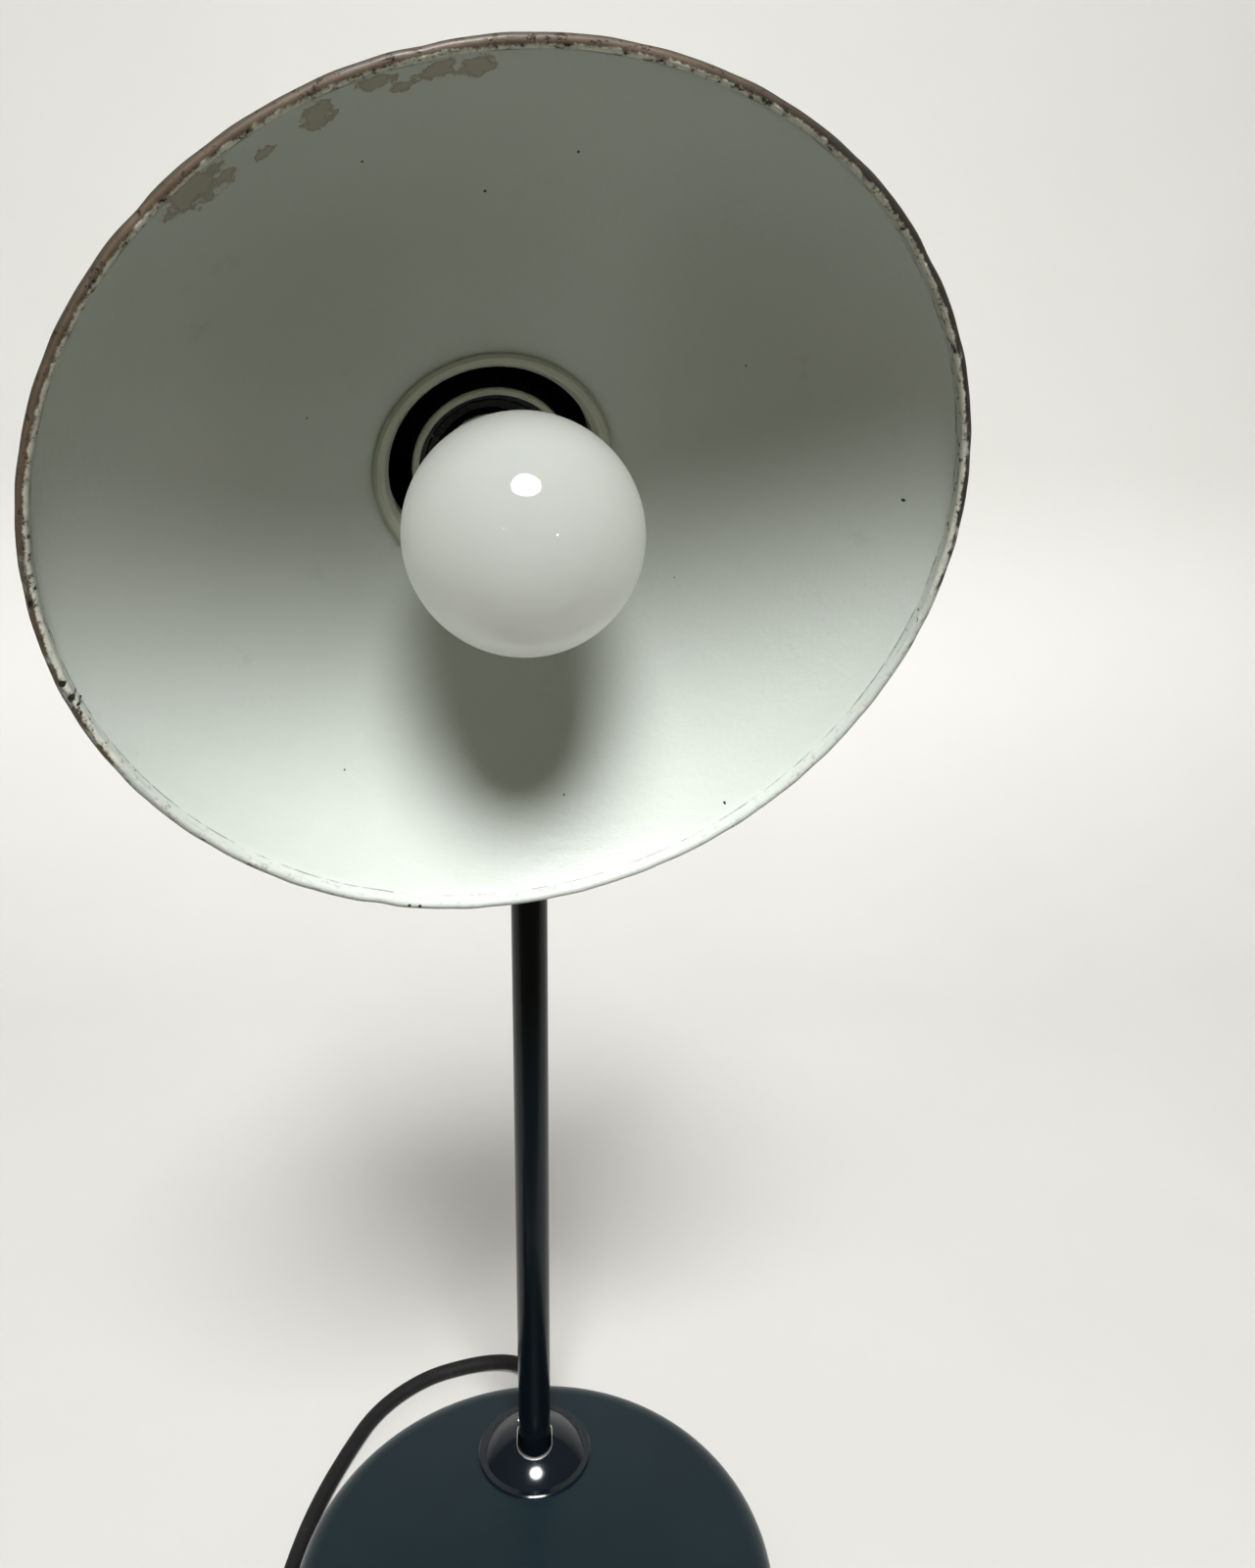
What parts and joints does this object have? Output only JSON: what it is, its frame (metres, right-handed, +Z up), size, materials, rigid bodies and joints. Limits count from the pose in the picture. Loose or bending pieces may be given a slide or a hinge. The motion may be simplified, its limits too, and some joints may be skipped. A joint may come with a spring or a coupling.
{
  "type": "desk lamp",
  "caption": "Desk lamp with a round weighted base, a tilting stem in a slotted collar, and a wide enamelled dish shade on a friction hinge.",
  "frame": {"origin": "centre of the base's underside, on the surface that the lamp stands on", "axes": "+Z up along the stem; the stem stands behind the origin on +Y; the shade looks towards -Y, turned 13 degrees towards +X"},
  "size_m": [0.2926, 0.2631, 0.5203],
  "materials": {
    "base_paint": "satin dark petrol enamel",
    "collar_paint": "glossy blue-black enamel",
    "stem_paint": "semi-gloss blue-black enamel",
    "shade_enamel": "off-white enamel inside, dark enamel outside, worn rim",
    "cup_paint": "semi-gloss blue-black enamel",
    "cream_plastic": "cream moulding",
    "black_plastic": "black bakelite",
    "plug_plastic": "black moulding",
    "cord_sheath": "matte black sheath",
    "rubber": "matte",
    "cast_iron": "as cast",
    "zinc_steel": "zinc plated",
    "spring_steel": "blued",
    "bare_steel": "bare",
    "nickel": "nickel plated",
    "brass": "bright",
    "felt": "wool felt",
    "fibre": "vulcanised fibre",
    "opal_glass": "glossy opal white",
    "clear_glass": "clear",
    "filament_wire": "tungsten",
    "cap_metal": "rolled thread",
    "black_glass": "vitreous insulator",
    "solder": "dull"
  },
  "bodies": {
    "base": {"base_shell": "base_paint", "base_weight": "cast_iron", "base_plate": "zinc_steel", "base_felt": "felt", "base_screws": "zinc_steel", "cord_strain_relief": "rubber", "inner_lead": "cord_sheath", "lead_clamp": "zinc_steel", "cord_run": "cord_sheath", "cord_tail": "cord_sheath", "cord_coil": "cord_sheath", "plug_body": "plug_plastic", "plug_pins": "nickel"},
    "collar": {"swivel_hub": "zinc_steel", "swivel_clip": "spring_steel", "swivel_washer": "spring_steel", "tilt_pin": "bare_steel", "tilt_washers": "spring_steel", "collar_dome": "collar_paint"},
    "stem": {"stem_foot": "bare_steel", "stem_tube": "stem_paint", "stem_screws": "zinc_steel", "stem_lead": "cord_sheath"},
    "swivel_head": {"swivel_head": "collar_paint"},
    "head": {"head_bracket": "stem_paint", "friction_washer": "fibre", "hinge_bolt": "zinc_steel", "hinge_washer": "zinc_steel", "spring_washer": "spring_steel", "shade": "shade_enamel", "shade_ring": "cream_plastic", "socket_cup": "cup_paint", "cup_nipple": "brass", "cup_nut": "brass", "holder_skirt": "black_plastic", "holder_ring": "cream_plastic", "holder_body": "black_plastic", "thread_shell": "brass", "centre_contact": "brass", "contact_screws": "brass", "switch_body": "black_plastic", "head_leads": "cord_sheath"},
    "knob": {"clamp_knob": "black_plastic", "knob_insert": "brass"},
    "switch": {"switch_bar": "black_plastic", "switch_buttons": "black_plastic"},
    "bulb": {"bulb_glass": "opal_glass", "filament_mount": "clear_glass", "filament": "filament_wire", "bulb_cap": "cap_metal", "bulb_insulator": "black_glass", "bulb_contact": "solder"}
  },
  "joints": [
    {"name": "base_swivel", "type": "hinge", "parent": "base", "child": "collar", "pos_m": [0, 0.05275, 0.022], "axis": [0, 0, 1], "range_deg": [-170, 170]},
    {"name": "stem_tilt", "type": "hinge", "parent": "collar", "child": "stem", "pos_m": [0, 0.05275, 0.012], "axis": [1, 0, 0], "range_deg": [0, 14]},
    {"name": "head_swivel", "type": "hinge", "parent": "stem", "child": "swivel_head", "pos_m": [0, 0.05275, 0.437], "axis": [0, 0, 1], "range_deg": [-170, 170]},
    {"name": "head_tilt", "type": "hinge", "parent": "swivel_head", "child": "head", "pos_m": [0, 0.05275, 0.453], "axis": [0.9738, 0.2275, 0], "range_deg": [-50, 22]},
    {"name": "knob_turn", "type": "hinge", "parent": "head", "child": "knob", "pos_m": [0, 0.05275, 0.453], "axis": [0.9738, 0.2275, 0], "range_deg": [0, 270]},
    {"name": "switch_slide", "type": "slide", "parent": "head", "child": "switch", "axis": [0.9738, 0.2275, 0], "range_m": [0, 0.003]},
    {"name": "bulb_release", "type": "slide", "parent": "head", "child": "bulb", "axis": [0.2147, -0.9191, -0.3305], "range_m": [0, 0.026]}
  ]
}
